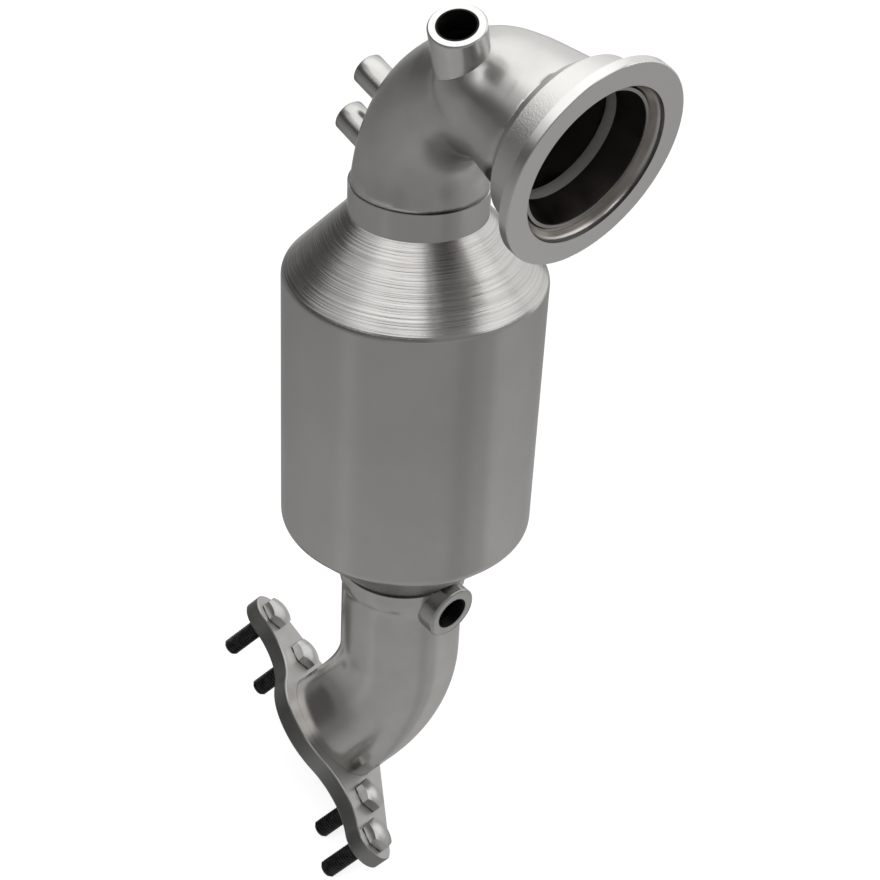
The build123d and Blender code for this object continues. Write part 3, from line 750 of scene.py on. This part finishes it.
def reflected(name, shape, level, nearer=0.0):
    """A glowing sheet that is only seen in reflections. Towards the object it may be brighter."""
    glowing = bpy.data.materials.new(name)
    glowing.use_nodes = True
    tree = glowing.node_tree
    tree.nodes.clear()
    flat = vector(tree, "MULTIPLY", put(tree, "TexCoord").outputs["Object"], (1, 1, 0))
    away = length(tree, "DISTANCE", flat, (subject.x, subject.y, 0))
    strength = tone(tree, ramp(tree, away, NEARER_START, NEARER_END), level * (1 + nearer), level)
    bright = put(tree, "Emission", {"Color": WHITE, "Strength": strength})
    put(tree, "OutputMaterial", {"Surface": bright.outputs[0]})
    made = staged(name, shape, glowing)
    made.visible_camera = made.visible_diffuse = made.visible_shadow = False
    made.visible_transmission = made.visible_volume_scatter = False


def trim(shape, point, outward):
    """Cuts a shape at a plane and clears the side that the plane faces."""
    bmesh.ops.bisect_plane(shape, geom=[*shape.verts, *shape.edges, *shape.faces], plane_co=point,
                           plane_no=outward, clear_outer=True)


def panel(name, left, right, low, high, level):
    """A panel on a dome round the object, between two azimuths and two elevations."""
    shape = bmesh.new()
    bmesh.ops.create_uvsphere(shape, u_segments=72, v_segments=36, radius=PANEL_DISTANCE)
    trim(shape, Vector(), heading(left - 90, 0))
    trim(shape, Vector(), heading(right + 90, 0))
    trim(shape, Vector((0, 0, PANEL_DISTANCE * math.sin(math.radians(low)))), Vector((0, 0, -1)))
    trim(shape, Vector((0, 0, PANEL_DISTANCE * math.sin(math.radians(high)))), Vector((0, 0, 1)))
    bmesh.ops.translate(shape, vec=subject, verts=shape.verts)
    reflected(name, shape, level)


def floor_patch(name, left, right, layer, level, reach):
    """A patch of grey floor between two azimuths, for reflections, brighter near the object."""
    shape = bmesh.new()
    bmesh.ops.create_circle(shape, cap_ends=True, radius=reach, segments=72)
    if right - left < 180:
        trim(shape, Vector(), heading(left - 90, 0))
        trim(shape, Vector(), heading(right + 90, 0))
    middle = Vector((subject.x, subject.y, cad_low.z + layer * FLOOR_LAYER))
    bmesh.ops.translate(shape, vec=middle, verts=shape.verts)
    reflected(name, shape, level, FLOOR_NEARER)


# Each panel has its left and right azimuth, its lowest and highest elevation, and its brightness.
panel("front_panel", -66, 14, 48, 88, 1.55)
panel("front_low_panel", -66, -36, 39, 47.5, 1.25)
panel("left_top_panel", -120, -66.5, 50, 88, 1.5)
panel("left_middle_panel", -108, -66.5, 32, 49.5, 0.75)
panel("back_top_panel", 150, 240, 40, 88, 1.65)
panel("back_panel", 150, 196, 2, 39.5, 1.2)
panel("back_left_panel", 197, 210, 20, 39.5, 0.7)
panel("right_panel", 62, 106, 24, 60, 1.45)
panel("right_low_panel", 107, 149, -6, 45, 1.2)
panel("right_top_panel", 62, 149, 60.5, 88, 1.6)
panel("gap_panel", 15, 61, 4, 70, 0.3)
panel("dark_front_panel", -35, 14, 6, 47.5, 0.17)
panel("dark_left_panel", -150, -36, 9, 31.5, 0.075)
panel("dark_low_panel", -150, -20, -8, 8.5, 0.24)
# Each patch has its left and right azimuth, its layer, its brightness and its reach. Higher layers
# hide the ones below them.
floor_patch("whole_floor", -180, 180, 1, FLOOR_SHEEN, FLOOR_SIZE / 3)
floor_patch("right_floor", 72, 160, 2, FLOOR_SHEEN * 1.35, FLOOR_SIZE / 3)
floor_patch("far_floor", 161, 199, 2, FLOOR_SHEEN * 2.0, FLOOR_SIZE / 3)
floor_patch("light_floor", -61, -47, 2, FLOOR_SHEEN * 1.15, FLOOR_SIZE / 3)
floor_patch("dark_floor", 38, 54, 2, FLOOR_SHEEN * 0.85, FLOOR_SIZE / 3)
floor_patch("near_floor", -170, -106, 3, FLOOR_SHEEN * 0.35, 0.2)
shape = bmesh.new()
bmesh.ops.create_uvsphere(shape, u_segments=48, v_segments=24, radius=DOME_DISTANCE)
bmesh.ops.translate(shape, vec=subject, verts=shape.verts)
reflected("dome", shape, DOME_LEVEL)


def soft_lamp(name, azimuth, elevation, distance, width, height, radiance):
    """A soft lamp of a given size facing the object. Its power follows from its brightness."""
    data = bpy.data.lights.new(name, "AREA")
    data.shape = "RECTANGLE"
    data.size, data.size_y = width, height
    data.energy = radiance * math.pi * width * height
    lamp = bpy.data.objects.new(name, data)
    lamp.location = subject + heading(azimuth, elevation) * distance
    lamp.rotation_euler = (subject - lamp.location).to_track_quat("-Z", "Y").to_euler()
    lamp.visible_glossy = False
    bpy.context.scene.collection.objects.link(lamp)


# Each lamp has its azimuth, elevation, distance, width, height and brightness.
soft_lamp("key_lamp", -15, 52, 1.8, 1.3, 1.1, 2.6)
soft_lamp("side_lamp", 85, 40, 1.8, 1.0, 1.2, 2.0)


# Camera
# It stands where the photograph was taken from, with the photograph's angle of view.
CAMERA_PLACE = (0.473987, -0.539143, 0.353663)
CAMERA_TURN = (55.334, -2.589, 47.749)
CAMERA_LENS, CAMERA_SENSOR = 78.8646, 36
CAMERA_NEAR, CAMERA_FAR = 0.01, 50

camera_data = bpy.data.cameras.new("camera")
camera_data.lens = CAMERA_LENS
camera_data.sensor_width = CAMERA_SENSOR
camera_data.clip_start, camera_data.clip_end = CAMERA_NEAR, CAMERA_FAR
camera = bpy.data.objects.new("camera", camera_data)
camera.location = CAMERA_PLACE
camera.rotation_euler = [math.radians(angle) for angle in CAMERA_TURN]
bpy.context.scene.collection.objects.link(camera)
bpy.context.scene.camera = camera

bpy.context.scene.view_settings.view_transform = "Standard"
